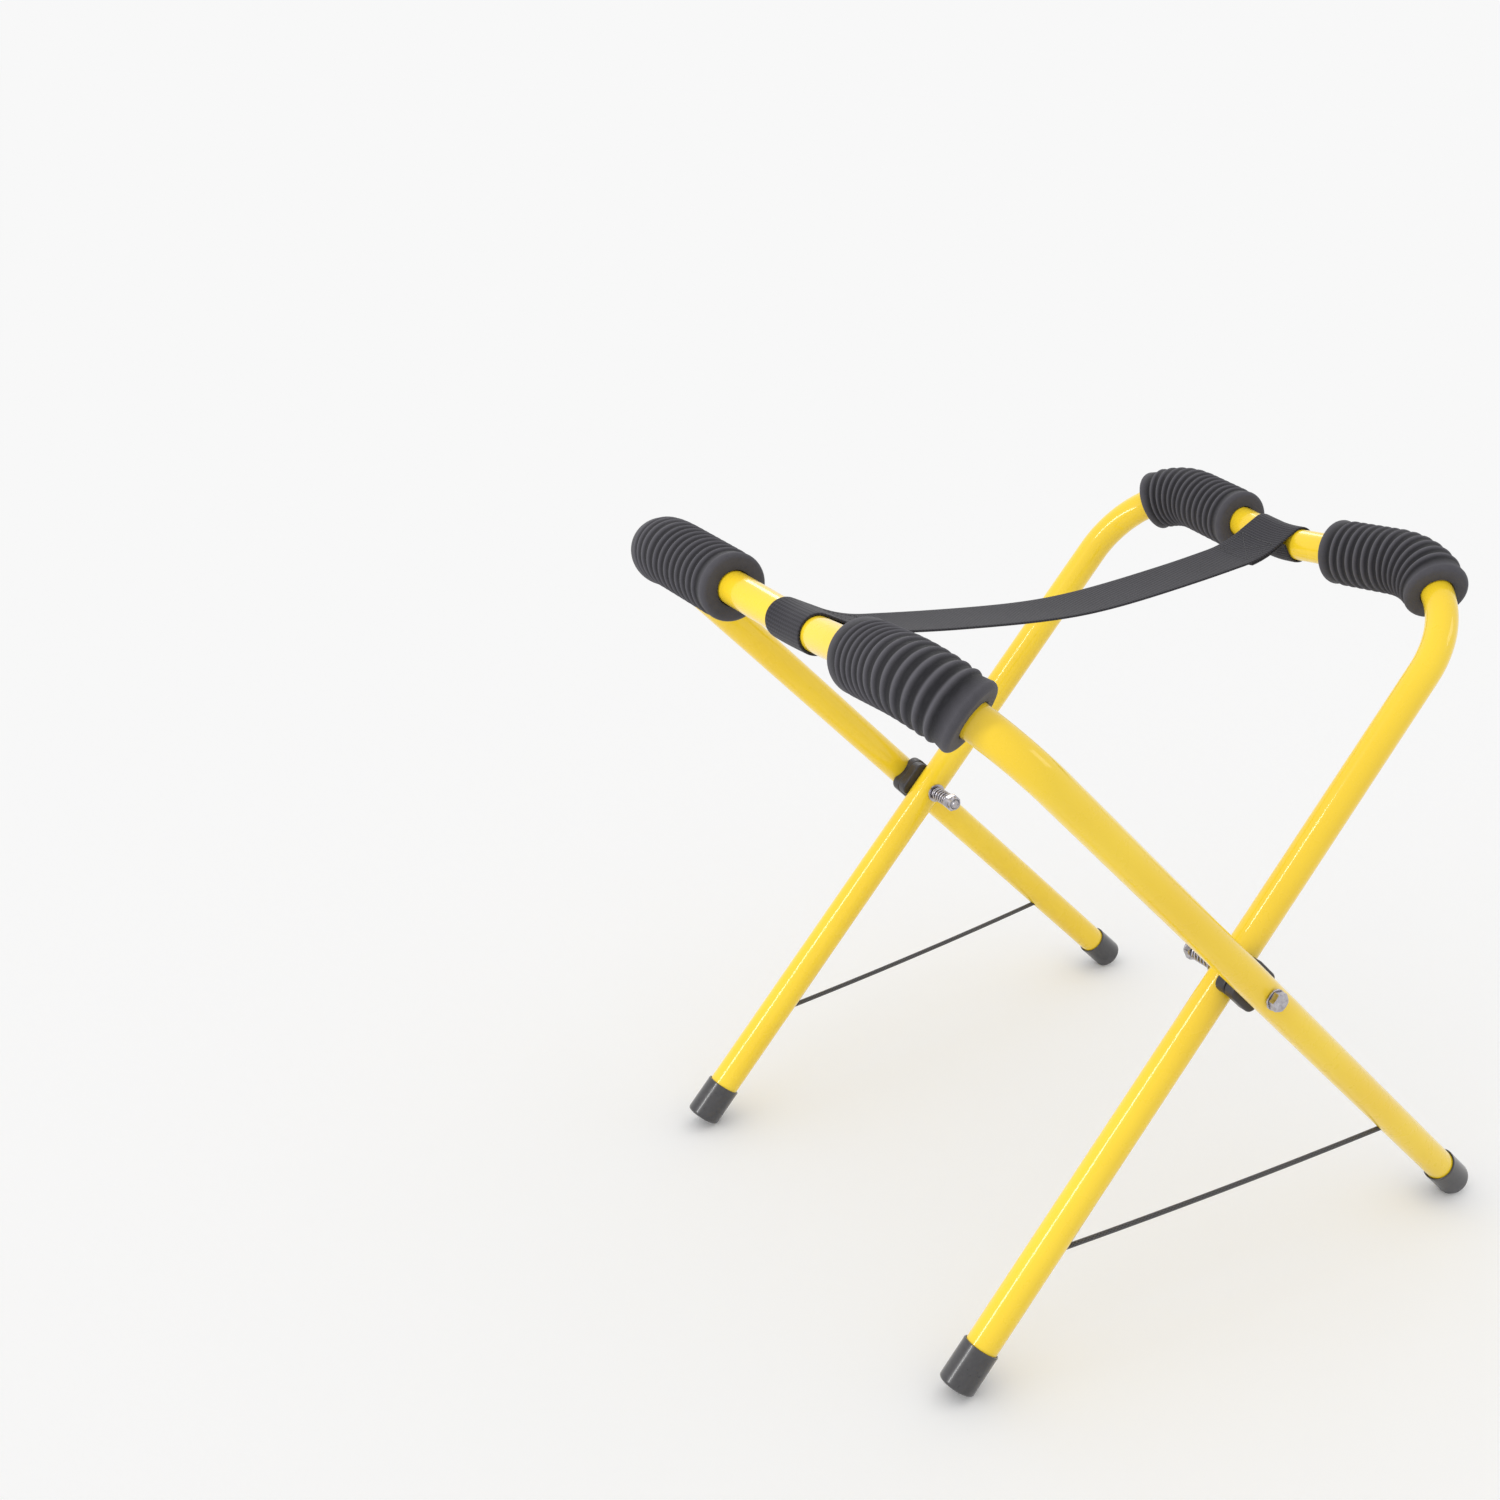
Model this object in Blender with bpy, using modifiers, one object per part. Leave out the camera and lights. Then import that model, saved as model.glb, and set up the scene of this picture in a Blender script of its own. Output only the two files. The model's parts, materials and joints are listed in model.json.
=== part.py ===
"""Folding sling trestle: two U-bent tube frames crossed as an X on a common bolt axis.

+Z is up, the ground is z = 0 and the bars run along Y. The outer frame's bar is at -X and its
feet are at +X; the inner frame is the other way round. Left is -Y and right is +Y.
"""
import math

import bmesh
import bpy
from mathutils import Matrix, Vector

# Frames
TUBE_RADIUS = 0.0125
TUBE_WALL = 0.0015
PIVOT_X = 0.0013                     # the grips' overall length is centred on x = 0
PIVOT_HEIGHT = 0.260
LEAN = math.radians(42.5)            # each frame's lean from the vertical
BAR_HEIGHT = 0.324                   # pivot axis to the middle of the top bar, along the frame
BAR_RISE = math.radians(6.0)         # each half of the bar rises towards its corner
CORNER_RADIUS = 0.078
MIDDLE_RADIUS = 0.120
HALF_WIDTH = {"outer": 0.242, "inner": 0.205}
TURN = {"outer": -LEAN, "inner": LEAN}
SIDES = {"left": -1.0, "right": 1.0}
GAP = 0.0003                         # between pieces that touch

# Feet
FOOT_RADIUS = 0.0140
FOOT_FLAT = 0.0020                   # depth of the worn flat that stands on the ground
FOOT_SLEEVE = 0.0320
FOOT_FLOOR = 0.0050
FOOT_END = (PIVOT_HEIGHT + FOOT_FLAT - FOOT_RADIUS * math.sin(LEAN)) / math.cos(LEAN)
TUBE_END = FOOT_END - FOOT_FLOOR - GAP

# Foam grips, each placed along its bar from the bar's middle
GRIP_RADIUS = 0.0255
GRIP_BORE = 0.0128
GRIP_LENGTH = 0.118
GRIP_START = {
    ("outer", "left"): 0.103,
    ("outer", "right"): 0.082,
    ("inner", "left"): 0.059,
    ("inner", "right"): 0.057,
}

# Pivot hardware, stacked along Y
BOLT_RADIUS = 0.0040
HEX_ACROSS_FLATS = 0.0130
HEAD_HEIGHT = 0.0053
HEAD_WASHER = (0.0080, 0.0014)       # radius, thickness
SEAT_WASHER = (0.0080, 0.0014)
HOLE_RADIUS = 0.0043
SADDLE_HALF_LENGTH = 0.0155          # along its own leg
SADDLE_HALF_WIDTH = 0.0166           # across its own leg
SADDLE_CORNER = 0.0070
SADDLE_HUG = 0.0040                  # how far a saddle reaches round its tube
SPRING_RADIUS = 0.0052               # to the middle of the wire
SPRING_WIRE = 0.00085
SPRING_LENGTH = 0.0215
SPRING_ACTIVE_TURNS = 4.5
NUT_HEIGHT = 0.0080
BOLT_TIP = 0.0016                    # bolt end beyond the nut

# Sling strap
STRAP_WIDTH = 0.050
STRAP_THICKNESS = 0.0020
STRAP_LOW_POINT = 0.4785
STRAP_SLOPE = 0.120                  # that the span's two halves tend to
STRAP_EASE = 0.060                   # length over which its middle turns
SEAM_REACH = 0.178                   # middle of the span to the seam where it turns up to its bar
SEAM_EASE = 0.018
STRAP_CENTRE = {"outer": -0.009, "inner": 0.006}
STRAP_CLEAR = 0.008                  # span starts this far past the loop's tangent point

# Limit cords
CORD_RADIUS = 0.0020
CORD_HOLE_RADIUS = 0.0026
CORD_HOLE_UP = {"outer": 0.128, "inner": 0.115}     # up each leg from the ground
CORD_SAG = 0.0020
KNOT_RADIUS = 0.0045
KNOT_OFFSET = 0.0075                 # from the tube's middle towards the hole

FINE_SIDES = 10                      # bevel resolutions of round curves, for 24, 20, 12 and 8 sides
MEDIUM_SIDES = 8
CORE_SIDES = 4
COARSE_SIDES = 2


def clear_scene():
    for item in list(bpy.data.objects):
        bpy.data.objects.remove(item, do_unlink=True)


def new_collection(name):
    collection = bpy.data.collections.new(name)
    bpy.context.scene.collection.children.link(collection)
    return collection


clear_scene()
PARTS = new_collection("folding_trestle")
CUTTERS = new_collection("cutters")


def make_material(name, color, roughness, metallic=0.0):
    material = bpy.data.materials.new(name)
    material.use_nodes = True
    shader = material.node_tree.nodes["Principled BSDF"]
    shader.inputs["Base Color"].default_value = (*color, 1.0)
    shader.inputs["Roughness"].default_value = roughness
    shader.inputs["Metallic"].default_value = metallic
    return material


YELLOW_PAINT = make_material("yellow_powder_coat", (0.90, 0.62, 0.03), 0.30)
BLACK_FOAM = make_material("black_foam", (0.045, 0.045, 0.050), 0.75)
BLACK_RUBBER = make_material("black_rubber", (0.050, 0.050, 0.052), 0.50)
BLACK_PLASTIC = make_material("black_plastic", (0.030, 0.028, 0.030), 0.40)
ZINC = make_material("zinc_plate", (0.70, 0.70, 0.72), 0.28, 1.0)
WEBBING = make_material("black_webbing", (0.055, 0.055, 0.060), 0.80)
CORD = make_material("black_cord", (0.040, 0.040, 0.042), 0.80)


def frame_axis(frame):
    """Empty on the pivot axis, with its Z up along the frame's legs."""
    empty = bpy.data.objects.new(frame + "_frame_axis", None)
    PARTS.objects.link(empty)
    empty.location = (PIVOT_X, 0.0, PIVOT_HEIGHT)
    empty.rotation_euler = (0.0, TURN[frame], 0.0)
    return empty


AXES = {frame: frame_axis(frame) for frame in HALF_WIDTH}


def place(item, frame=None, material=None):
    """Parent a part to its frame's axis and give it its material."""
    PARTS.objects.link(item)
    if frame:
        item.parent = AXES[frame]
    if material:
        item.data.materials.clear()
        item.data.materials.append(material)
    return item


def place_cutter(item, frame=None):
    CUTTERS.objects.link(item)
    if frame:
        item.parent = AXES[frame]
    item.hide_render = True
    item.display_type = "WIRE"
    return item


def smooth(mesh, angle=40.0):
    mesh.shade_smooth()
    mesh.set_sharp_from_angle(angle=math.radians(angle))


def mesh_object(name, build):
    """Make a mesh object from a function that fills a bmesh."""
    mesh = bpy.data.meshes.new(name)
    shape = bmesh.new()
    build(shape)
    shape.to_mesh(mesh)
    shape.free()
    smooth(mesh)
    return bpy.data.objects.new(name, mesh)


def cylinder_y(name, radius, low, high, segments, turn=0.0):
    """Cylinder or prism along Y between two places."""

    def build(shape):
        around_y = Matrix.Rotation(math.radians(90.0), 4, "X") @ Matrix.Rotation(turn, 4, "Z")
        middle = Matrix.Translation((0.0, (low + high) / 2.0, 0.0))
        bmesh.ops.create_cone(shape, cap_ends=True, segments=segments, radius1=radius,
                              radius2=radius, depth=high - low, matrix=middle @ around_y)

    return mesh_object(name, build)


def add_boolean(item, cutter, operation="DIFFERENCE"):
    modifier = item.modifiers.new(cutter.name, "BOOLEAN")
    modifier.operation = operation
    modifier.solver = "EXACT"
    modifier.object = cutter


def swept_mesh(name, points, radius, resolution):
    """Closed round bar along a line of points, as a mesh."""
    curve = bpy.data.curves.new(name, "CURVE")
    curve.dimensions = "3D"
    curve.bevel_depth = radius
    curve.bevel_resolution = resolution
    curve.use_fill_caps = True
    spline = curve.splines.new("POLY")
    spline.points.add(len(points) - 1)
    for spot, point in zip(spline.points, points):
        spot.co = (*point, 1.0)
    guide = bpy.data.objects.new(name + "_curve", curve)
    PARTS.objects.link(guide)
    evaluated = guide.evaluated_get(bpy.context.evaluated_depsgraph_get())
    mesh = bpy.data.meshes.new_from_object(evaluated)
    shape = bmesh.new()
    shape.from_mesh(mesh)
    bmesh.ops.remove_doubles(shape, verts=shape.verts, dist=0.00001)
    bmesh.ops.recalc_face_normals(shape, faces=shape.faces)
    shape.to_mesh(mesh)
    shape.free()
    smooth(mesh)
    result = bpy.data.objects.new(name, mesh)
    result.matrix_world = guide.matrix_world
    bpy.data.objects.remove(guide, do_unlink=True)
    return result


def leg_top(half_width):
    """Height where a leg ends and its corner bend starts."""
    corner = BAR_HEIGHT + half_width * math.tan(BAR_RISE)
    quarter = math.radians(90.0) + BAR_RISE
    return corner - CORNER_RADIUS * math.tan(quarter / 2.0)


def half_outline(half_width, low):
    """Right half of a frame's centre line as (y, z), from the bar's middle to the foot."""
    points = []
    middle_steps = 2
    for step in range(middle_steps + 1):
        angle = BAR_RISE * step / middle_steps
        height = BAR_HEIGHT + MIDDLE_RADIUS / math.cos(BAR_RISE) - MIDDLE_RADIUS * math.cos(angle)
        points.append((MIDDLE_RADIUS * math.sin(angle), height))
    bend = math.radians(90.0) + BAR_RISE
    bend_steps = 8
    for step in range(bend_steps + 1):
        angle = bend * (1.0 - step / bend_steps)
        across = half_width - CORNER_RADIUS + CORNER_RADIUS * math.cos(angle)
        points.append((across, leg_top(half_width) + CORNER_RADIUS * math.sin(angle)))
    points.append((half_width, low))
    return points


def frame_points(frame, low):
    """Whole centre line of a frame, from the left foot to the right foot."""
    right = half_outline(HALF_WIDTH[frame], low)
    left = [(-y, z) for y, z in reversed(right[1:])]
    return [Vector((0.0, y, z)) for y, z in left + right]


def stretch(frame, start, end):
    """Centre line between two distances along the bar from its middle, right being positive."""
    points = frame_points(frame, 0.0)
    middle = len(points) // 2
    travelled = [0.0]
    for before, after in zip(points, points[1:]):
        travelled.append(travelled[-1] + (after - before).length)
    travelled = [value - travelled[middle] for value in travelled]

    def spot(distance):
        for index in range(len(points) - 1):
            if travelled[index] <= distance <= travelled[index + 1]:
                share = (distance - travelled[index]) / (travelled[index + 1] - travelled[index])
                return points[index].lerp(points[index + 1], share)
        raise ValueError("distance is off the bar")

    inside = [point for point, value in zip(points, travelled) if start + 0.001 < value < end - 0.001]
    return [spot(start)] + inside + [spot(end)]


def lengthened(points, extra):
    """The same line with both ends carried straight on."""
    first = points[0] + (points[0] - points[1]).normalized() * extra
    last = points[-1] + (points[-1] - points[-2]).normalized() * extra
    return [first] + points + [last]


def cord_anchor(frame, side):
    """Middle of a leg where its limit cord goes in, in the world."""
    reach = PIVOT_HEIGHT / math.cos(LEAN) - CORD_HOLE_UP[frame]
    direction = Vector((math.sin(TURN[frame]), 0.0, math.cos(TURN[frame])))
    pivot = Vector((PIVOT_X, SIDES[side] * HALF_WIDTH[frame], PIVOT_HEIGHT))
    return pivot - direction * reach


def cord_direction(side):
    """Unit vector of a limit cord, from the outer leg to the inner leg."""
    return (cord_anchor("inner", side) - cord_anchor("outer", side)).normalized()


def make_frame_tube(frame):
    """Hollow bent tube with its bolt holes and cord holes."""
    tube = place(swept_mesh(frame + "_frame_tube", frame_points(frame, -TUBE_END), TUBE_RADIUS,
                            FINE_SIDES), frame, YELLOW_PAINT)
    for side, sign in SIDES.items():
        centre = sign * HALF_WIDTH[frame]
        hole = cylinder_y(frame + "_bolt_hole_cutter_" + side, HOLE_RADIUS, centre - 0.020,
                          centre + 0.020, 16, math.radians(5.0))
        add_boolean(tube, place_cutter(hole, frame))
        toward = cord_direction(side) * (1.0 if frame == "outer" else -1.0)
        inside = cord_anchor(frame, side)
        route = [inside, inside + toward * 0.030]
        name = frame + "_cord_hole_cutter_" + side
        add_boolean(tube, place_cutter(swept_mesh(name, route, CORD_HOLE_RADIUS, COARSE_SIDES)))
    core = swept_mesh(frame + "_bore_cutter", frame_points(frame, -TUBE_END - 0.010),
                      TUBE_RADIUS - TUBE_WALL, CORE_SIDES)
    add_boolean(tube, place_cutter(core, frame))


def make_sleeve(name, frame, points, outer_radius, bore_radius, material, rounded):
    """Sleeve that follows the frame's tube; rounded softens its two end rims."""
    sleeve = place(swept_mesh(name, points, outer_radius, MEDIUM_SIDES), frame, material)
    if rounded:
        bevel = sleeve.modifiers.new("rims", "BEVEL")
        bevel.width = rounded
        bevel.segments = 2
        bevel.limit_method = "ANGLE"
        bevel.angle_limit = math.radians(60.0)
    bore = swept_mesh(name + "_bore_cutter", lengthened(points, 0.010), bore_radius, FINE_SIDES)
    add_boolean(sleeve, place_cutter(bore, frame))
    return sleeve


def make_grip(frame, side):
    start = GRIP_START[(frame, side)]
    ends = sorted((SIDES[side] * start, SIDES[side] * (start + GRIP_LENGTH)))
    name = "foam_grip_" + frame + "_" + side
    make_sleeve(name, frame, stretch(frame, *ends), GRIP_RADIUS, GRIP_BORE, BLACK_FOAM, 0.0025)


def make_foot(frame, side, ground):
    """Turned rubber ferrule over a leg's end, worn flat where it stands."""
    rim = -FOOT_END + FOOT_SLEEVE
    floor = -FOOT_END + FOOT_FLOOR
    rounding = 0.0025
    profile = [(0.0, floor), (TUBE_RADIUS + GAP, floor), (TUBE_RADIUS + GAP, rim),
               (FOOT_RADIUS - 0.0005, rim), (FOOT_RADIUS, rim - 0.0005)]
    for step in range(4):
        angle = math.radians(90.0) * step / 3
        profile.append((FOOT_RADIUS - rounding + rounding * math.cos(angle),
                        -FOOT_END + rounding - rounding * math.sin(angle)))
    profile.append((0.0, -FOOT_END))
    name = "foot_cap_" + frame + "_" + side
    mesh = bpy.data.meshes.new(name)
    shape = bmesh.new()
    corners = [shape.verts.new((radius, 0.0, height)) for radius, height in profile]
    for first, second in zip(corners, corners[1:]):
        shape.edges.new((first, second))
    shape.to_mesh(mesh)
    shape.free()
    foot = place(bpy.data.objects.new(name, mesh), frame, BLACK_RUBBER)
    foot.location = (0.0, SIDES[side] * HALF_WIDTH[frame], 0.0)
    screw = foot.modifiers.new("turned", "SCREW")
    screw.steps = 20
    screw.render_steps = 20
    screw.use_merge_vertices = True
    screw.merge_threshold = 0.00005
    screw.use_smooth_shade = True
    add_boolean(foot, ground)


def make_washer(name, size, low, bore_radius):
    """Flat washer on the bolt, from low along +Y."""
    washer = place(cylinder_y(name, size[0], low, low + size[1], 24), "outer", ZINC)
    cutter = cylinder_y(name + "_bore_cutter", bore_radius, low - 0.002, low + size[1] + 0.002, 16)
    add_boolean(washer, place_cutter(cutter, "outer"))


def stacked(side, near_middle, thickness):
    """Low Y end of a piece whose face nearest the trestle's middle is given."""
    return near_middle if side == "right" else -near_middle - thickness


def make_pivot(side):
    """Bolt, washers, spring and lock nut of one pivot."""
    sign = SIDES[side]
    outer_face = HALF_WIDTH["outer"] + TUBE_RADIUS + GAP
    inner_face = HALF_WIDTH["inner"] - TUBE_RADIUS - GAP
    washer_low = stacked(side, outer_face, HEAD_WASHER[1])
    make_washer("head_washer_" + side, HEAD_WASHER, washer_low, HOLE_RADIUS)
    head = outer_face + HEAD_WASHER[1] + GAP
    seat = inner_face - SEAT_WASHER[1]
    seat_low = stacked(side, seat, SEAT_WASHER[1])
    make_washer("seat_washer_" + side, SEAT_WASHER, seat_low, HOLE_RADIUS)
    spring_end = seat - GAP - SPRING_LENGTH
    nut = spring_end - GAP - NUT_HEIGHT
    hex_radius = HEX_ACROSS_FLATS / 2.0 / math.cos(math.radians(30.0))

    bolt_ends = sorted((sign * (nut - BOLT_TIP), sign * (head + HEAD_HEIGHT / 2.0)))
    bolt = place(cylinder_y("pivot_bolt_" + side, BOLT_RADIUS, *bolt_ends, 16), "outer", ZINC)
    head_low = stacked(side, head, HEAD_HEIGHT)
    head_block = cylinder_y("bolt_head_shape_" + side, hex_radius, head_low,
                            head_low + HEAD_HEIGHT, 6, math.radians(18.0))
    add_boolean(bolt, place_cutter(head_block, "outer"), "UNION")

    nut_low = stacked(side, nut, NUT_HEIGHT)
    lock_nut = place(cylinder_y("lock_nut_" + side, hex_radius, nut_low, nut_low + NUT_HEIGHT, 6),
                     "outer", ZINC)
    thread = cylinder_y("lock_nut_cutter_" + side, BOLT_RADIUS + 0.0004, nut_low - 0.002,
                        nut_low + NUT_HEIGHT + 0.002, 16)
    add_boolean(lock_nut, place_cutter(thread, "outer"))

    make_spring(side, spring_end)


def make_spring(side, low):
    """Compression spring with a close turn at each end."""
    close_pitch = 0.00200
    active = SPRING_LENGTH - 2.0 * SPRING_WIRE - 2.0 * close_pitch
    turns = SPRING_ACTIVE_TURNS + 2.0
    per_turn = 9
    points = []
    for step in range(int(turns * per_turn) + 1):
        turn = step / per_turn
        if turn < 1.0:
            along = close_pitch * turn
        elif turn < 1.0 + SPRING_ACTIVE_TURNS:
            along = close_pitch + active * (turn - 1.0) / SPRING_ACTIVE_TURNS
        else:
            along = close_pitch + active + close_pitch * (turn - 1.0 - SPRING_ACTIVE_TURNS)
        angle = 2.0 * math.pi * turn
        place_y = SIDES[side] * (low + SPRING_WIRE + along)
        points.append(Vector((SPRING_RADIUS * math.cos(angle), place_y,
                              SPRING_RADIUS * math.sin(angle))))
    place(swept_mesh("pivot_spring_" + side, points, SPRING_WIRE, 1), "outer", ZINC)


def rounded_block(name, low, high):
    """Block along Y with rounded corners seen from its end."""

    def build(shape):
        corners = []
        for quarter, (x_sign, z_sign) in enumerate(((1, 1), (-1, 1), (-1, -1), (1, -1))):
            x = x_sign * (SADDLE_HALF_WIDTH - SADDLE_CORNER)
            z = z_sign * (SADDLE_HALF_LENGTH - SADDLE_CORNER)
            for step in range(5):
                angle = math.radians(90.0) * (quarter + step / 4)
                corners.append(shape.verts.new((x + SADDLE_CORNER * math.cos(angle), low,
                                                z + SADDLE_CORNER * math.sin(angle))))
        face = shape.faces.new(corners)
        pushed = bmesh.ops.extrude_face_region(shape, geom=[face])
        moved = [item for item in pushed["geom"] if isinstance(item, bmesh.types.BMVert)]
        bmesh.ops.translate(shape, verts=moved, vec=(0.0, high - low, 0.0))
        bmesh.ops.recalc_face_normals(shape, faces=shape.faces)

    return mesh_object(name, build)


def make_saddle(frame, side):
    """Plastic saddle: flat towards the other frame, hollowed to hug its own tube."""
    split = (HALF_WIDTH["outer"] + HALF_WIDTH["inner"]) / 2.0
    away = 1.0 if frame == "outer" else -1.0
    flat = split + away * GAP / 2.0
    hug = HALF_WIDTH[frame] - away * (TUBE_RADIUS - SADDLE_HUG)
    ends = sorted((SIDES[side] * flat, SIDES[side] * hug))
    name = "saddle_" + frame + "_" + side
    saddle = place(rounded_block(name, *ends), frame, BLACK_PLASTIC)
    bevel = saddle.modifiers.new("edges", "BEVEL")
    bevel.width = 0.0010
    bevel.segments = 2
    bevel.limit_method = "ANGLE"
    bevel.angle_limit = math.radians(60.0)
    centre = SIDES[side] * HALF_WIDTH[frame]
    route = [Vector((0.0, centre, -0.030)), Vector((0.0, centre, 0.030))]
    hollow = swept_mesh(name + "_tube_cutter", route, TUBE_RADIUS + GAP, FINE_SIDES)
    add_boolean(saddle, place_cutter(hollow, frame))
    ends = sorted((SIDES[side] * (split - 0.030), SIDES[side] * (split + 0.030)))
    bore = cylinder_y(name + "_bore_cutter", HOLE_RADIUS, *ends, 16)
    add_boolean(saddle, place_cutter(bore, frame))


def make_strap_loop(frame):
    """Webbing sewn round the middle of a top bar."""
    start = STRAP_CENTRE[frame] - STRAP_WIDTH / 2.0
    points = stretch(frame, start, start + STRAP_WIDTH)
    inner = TUBE_RADIUS + GAP
    make_sleeve("strap_loop_" + frame, frame, points, inner + STRAP_THICKNESS, inner,
                WEBBING, 0.0)


def sag_height(x):
    """Height of the hanging part of the strap at a distance from its middle."""
    return STRAP_LOW_POINT + STRAP_SLOPE * (math.hypot(x, STRAP_EASE) - STRAP_EASE)


def strap_line():
    """Middle of the strap as (x, z), from the outer bar to the inner bar.

    It sags between its two seams, then each end runs straight up onto its bar.
    """
    bar = Vector((BAR_HEIGHT * math.sin(LEAN), PIVOT_HEIGHT + BAR_HEIGHT * math.cos(LEAN)))
    radius = TUBE_RADIUS + GAP + STRAP_THICKNESS / 2.0
    seam = Vector((SEAM_REACH, sag_height(SEAM_REACH)))
    to_bar = bar - seam
    slope = math.atan2(to_bar.y, to_bar.x) + math.asin(radius / to_bar.length)
    up = Vector((math.cos(slope), math.sin(slope)))
    end = math.sqrt(to_bar.length ** 2 - radius ** 2) - STRAP_CLEAR
    before = Vector((SEAM_REACH - SEAM_EASE, sag_height(SEAM_REACH - SEAM_EASE)))
    after = seam + up * SEAM_EASE
    steps = 8
    half = [Vector((before.x * step / steps, sag_height(before.x * step / steps)))
            for step in range(steps + 1)]
    half.append(before.lerp(seam, 1.0 / 3.0).lerp(seam.lerp(after, 1.0 / 3.0), 1.0 / 3.0))
    half.append(before.lerp(seam, 2.0 / 3.0).lerp(seam.lerp(after, 2.0 / 3.0), 2.0 / 3.0))
    half += [after, seam + up * end]
    whole = [(-x, z) for x, z in reversed(half[1:])] + [(x, z) for x, z in half]
    return [(PIVOT_X + x, z) for x, z in whole]


def make_strap_span():
    """Sling strap between the two bars, as a sheet with thickness."""
    line = strap_line()
    first, last = STRAP_CENTRE["outer"], STRAP_CENTRE["inner"]
    mesh = bpy.data.meshes.new("sling_strap")
    shape = bmesh.new()
    rows = []
    for x, z in line:
        middle = first + (last - first) * (x - line[0][0]) / (line[-1][0] - line[0][0])
        rows.append([shape.verts.new((x, middle + edge * STRAP_WIDTH / 2.0, z))
                     for edge in (-1.0, 1.0)])
    for before, after in zip(rows, rows[1:]):
        shape.faces.new((before[0], after[0], after[1], before[1]))
    shape.to_mesh(mesh)
    shape.free()
    strap = place(bpy.data.objects.new("sling_strap", mesh), None, WEBBING)
    solid = strap.modifiers.new("webbing", "SOLIDIFY")
    solid.thickness = STRAP_THICKNESS
    solid.offset = 0.0


def make_limit_cord(side):
    """Cord that stops the frames from spreading, with a knot inside each leg."""
    toward = cord_direction(side)
    start = cord_anchor("outer", side)
    end = cord_anchor("inner", side)
    hidden = KNOT_OFFSET + KNOT_RADIUS + GAP
    first = start + toward * hidden
    last = end - toward * hidden
    steps = 20
    points = []
    for step in range(steps + 1):
        share = step / steps
        point = first.lerp(last, share)
        point.z -= CORD_SAG * 4.0 * share * (1.0 - share)
        points.append(point)
    place(swept_mesh("limit_cord_" + side, points, CORD_RADIUS, COARSE_SIDES), None, CORD)
    for frame, centre in (("outer", start + toward * KNOT_OFFSET),
                          ("inner", end - toward * KNOT_OFFSET)):

        def build(shape):
            bmesh.ops.create_uvsphere(shape, u_segments=10, v_segments=6, radius=KNOT_RADIUS)

        knot = place(mesh_object("cord_knot_" + frame + "_" + side, build), None, CORD)
        knot.location = centre


def make_ground_cutter():
    def build(shape):
        size = Matrix.Diagonal((1.2, 1.2, 0.1, 1.0))
        bmesh.ops.create_cube(shape, size=1.0, matrix=Matrix.Translation((0.0, 0.0, -0.05)) @ size)

    return place_cutter(mesh_object("ground_cutter", build))


def build_trestle():
    bpy.context.view_layer.update()
    ground = make_ground_cutter()
    for frame in HALF_WIDTH:
        make_frame_tube(frame)
        make_strap_loop(frame)
        for side in SIDES:
            make_grip(frame, side)
            make_foot(frame, side, ground)
            make_saddle(frame, side)
    for side in SIDES:
        make_pivot(side)
        make_limit_cord(side)
    make_strap_span()
    bpy.context.view_layer.update()


build_trestle()
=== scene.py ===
"""Looks of the folding sling trestle: its paint, foam, webbing, cords and hardware."""
import json
import math

import bmesh
import bpy
import numpy as np
from mathutils import Matrix, Vector


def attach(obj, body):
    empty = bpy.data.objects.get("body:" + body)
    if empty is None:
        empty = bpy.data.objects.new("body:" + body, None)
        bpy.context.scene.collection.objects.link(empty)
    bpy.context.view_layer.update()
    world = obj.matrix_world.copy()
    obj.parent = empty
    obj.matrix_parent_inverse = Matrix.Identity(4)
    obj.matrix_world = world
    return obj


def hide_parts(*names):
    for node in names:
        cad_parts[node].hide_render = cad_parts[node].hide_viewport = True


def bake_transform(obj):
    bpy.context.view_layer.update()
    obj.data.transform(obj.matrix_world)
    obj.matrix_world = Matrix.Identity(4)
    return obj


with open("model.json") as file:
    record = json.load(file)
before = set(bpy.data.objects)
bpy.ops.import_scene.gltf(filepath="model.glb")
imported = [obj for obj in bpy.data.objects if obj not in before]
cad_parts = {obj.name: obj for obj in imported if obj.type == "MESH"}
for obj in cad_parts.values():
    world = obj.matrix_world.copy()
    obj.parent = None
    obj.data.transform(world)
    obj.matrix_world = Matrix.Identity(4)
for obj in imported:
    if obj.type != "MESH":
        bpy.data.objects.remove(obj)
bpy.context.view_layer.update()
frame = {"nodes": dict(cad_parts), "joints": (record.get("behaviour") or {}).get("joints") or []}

# The frame's own sizes, in metres
PIVOT = Vector(frame["joints"][0]["pos_m"])
LEAN = math.radians(42.5)
TURN = {"outer": -LEAN, "inner": LEAN}
SIDES = {"left": -1.0, "right": 1.0}
HALF_WIDTH = {"outer": 0.242, "inner": 0.205}
BODY = {"outer": "outer_frame", "inner": "inner_frame"}
BAR_HEIGHT = 0.324
BAR_RISE = math.radians(6.0)
MIDDLE_RADIUS = 0.120
CORNER_RADIUS = 0.078
CORNER_TURN = math.radians(90.0) + BAR_RISE
MIDDLE_ARC = MIDDLE_RADIUS * BAR_RISE                 # half the arc in the middle of a bar
MIDDLE_ACROSS = MIDDLE_RADIUS * math.sin(BAR_RISE)
BAR_CREST = MIDDLE_RADIUS / math.cos(BAR_RISE)        # that arc's centre to the halves' crossing
TUBE_RADIUS = 0.0125
TUBE_WALL = 0.0015
GAP = 0.0003                         # between pieces that touch
BOLT_HOLE_RADIUS = 0.0043
FOOT_RADIUS = 0.0140
FOOT_FLAT = 0.0020                   # depth of the worn flat that stands on the ground
FOOT_SLEEVE = 0.0320
FOOT_FLOOR = 0.0050
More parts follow.
